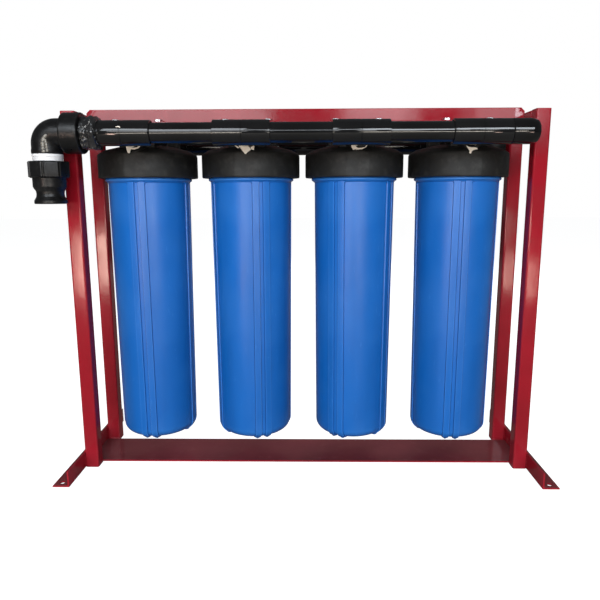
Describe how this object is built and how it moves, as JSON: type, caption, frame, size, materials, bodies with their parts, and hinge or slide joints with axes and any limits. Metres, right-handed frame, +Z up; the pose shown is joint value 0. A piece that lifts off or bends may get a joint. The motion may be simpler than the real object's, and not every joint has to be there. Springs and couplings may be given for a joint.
{
  "type": "parallel water filter bank on a floor stand",
  "caption": "Red steel floor stand holding a row of tall blue filter housings with black caps, fed through black pipe manifolds with an elbow and cam-and-groove couplings.",
  "frame": {"origin": "on the floor, on the underside of the base plate, midway along the stand and below the line of the housing axes", "axes": "+X along the row of housings to the right seen from the front, +Y from the inlet side to the outlet side, +Z up"},
  "size_m": [0.9042, 0.4428, 0.659],
  "materials": {
    "red_paint": "gloss",
    "cap_plastic": "grained",
    "sump_plastic": "satin",
    "seal_rubber": "matt",
    "filter_media": "fibrous",
    "screw_steel": "zinc plated",
    "pipe_plastic": "gloss",
    "fitting_plastic": "satin",
    "white_plastic": "satin"
  },
  "bodies": {
    "stand": {"leg_front_left": "red_paint", "leg_rear_left": "red_paint", "side_rail_left": "red_paint", "foot_left": "red_paint", "leg_front_right": "red_paint", "leg_rear_right": "red_paint", "side_rail_right": "red_paint", "foot_right": "red_paint", "base_plate": "red_paint", "cap_rail_front": "red_paint", "cap_rail_rear": "red_paint", "cap_1": "cap_plastic", "screw_1_left": "screw_steel", "screw_1_right": "screw_steel", "cap_2": "cap_plastic", "screw_2_left": "screw_steel", "screw_2_right": "screw_steel", "cap_3": "cap_plastic", "screw_3_left": "screw_steel", "screw_3_right": "screw_steel", "cap_4": "cap_plastic", "screw_4_left": "screw_steel", "screw_4_right": "screw_steel", "inlet_tee_1": "pipe_plastic", "inlet_tee_2": "pipe_plastic", "inlet_tee_3": "pipe_plastic", "inlet_tee_4": "pipe_plastic", "inlet_pipe_1": "pipe_plastic", "inlet_pipe_2": "pipe_plastic", "inlet_pipe_3": "pipe_plastic", "inlet_end_cap": "pipe_plastic", "inlet_reducer": "fitting_plastic", "inlet_elbow": "fitting_plastic", "inlet_nipple": "white_plastic", "inlet_coupling": "fitting_plastic", "outlet_tee_1": "pipe_plastic", "outlet_tee_2": "pipe_plastic", "outlet_tee_3": "pipe_plastic", "outlet_tee_4": "pipe_plastic", "outlet_pipe_1": "pipe_plastic", "outlet_pipe_2": "pipe_plastic", "outlet_pipe_3": "pipe_plastic", "outlet_end_cap": "pipe_plastic", "outlet_reducer": "fitting_plastic", "outlet_elbow": "fitting_plastic", "outlet_nipple": "white_plastic", "outlet_coupling": "fitting_plastic"},
    "core_1": {"cartridge_1": "filter_media"},
    "bowl_1": {"sump_1": "sump_plastic", "o_ring_1": "seal_rubber"},
    "core_2": {"cartridge_2": "filter_media"},
    "bowl_2": {"sump_2": "sump_plastic", "o_ring_2": "seal_rubber"},
    "core_3": {"cartridge_3": "filter_media"},
    "bowl_3": {"sump_3": "sump_plastic", "o_ring_3": "seal_rubber"},
    "core_4": {"cartridge_4": "filter_media"},
    "bowl_4": {"sump_4": "sump_plastic", "o_ring_4": "seal_rubber"}
  },
  "joints": [
    {"name": "bowl_1_lower", "type": "slide", "parent": "stand", "child": "core_1", "axis": [0, 0, -1], "range_m": [0, 0.0191]},
    {"name": "bowl_1_turn", "type": "hinge", "parent": "core_1", "child": "bowl_1", "pos_m": [-0.2965, 0, 0.3], "axis": [0, 0, -1], "range_deg": [0, 1080]},
    {"name": "bowl_2_lower", "type": "slide", "parent": "stand", "child": "core_2", "axis": [0, 0, -1], "range_m": [0, 0.0191]},
    {"name": "bowl_2_turn", "type": "hinge", "parent": "core_2", "child": "bowl_2", "pos_m": [-0.1015, 0, 0.3], "axis": [0, 0, -1], "range_deg": [0, 1080]},
    {"name": "bowl_3_lower", "type": "slide", "parent": "stand", "child": "core_3", "axis": [0, 0, -1], "range_m": [0, 0.0191]},
    {"name": "bowl_3_turn", "type": "hinge", "parent": "core_3", "child": "bowl_3", "pos_m": [0.0935, 0, 0.3], "axis": [0, 0, -1], "range_deg": [0, 1080]},
    {"name": "bowl_4_lower", "type": "slide", "parent": "stand", "child": "core_4", "axis": [0, 0, -1], "range_m": [0, 0.0191]},
    {"name": "bowl_4_turn", "type": "hinge", "parent": "core_4", "child": "bowl_4", "pos_m": [0.2885, 0, 0.3], "axis": [0, 0, -1], "range_deg": [0, 1080]}
  ],
  "couplings": [
    {"joint": "bowl_1_lower", "follows": "bowl_1_turn", "m_per_rad": 0.0010106},
    {"joint": "bowl_2_lower", "follows": "bowl_2_turn", "m_per_rad": 0.0010106},
    {"joint": "bowl_3_lower", "follows": "bowl_3_turn", "m_per_rad": 0.0010106},
    {"joint": "bowl_4_lower", "follows": "bowl_4_turn", "m_per_rad": 0.0010106}
  ]
}
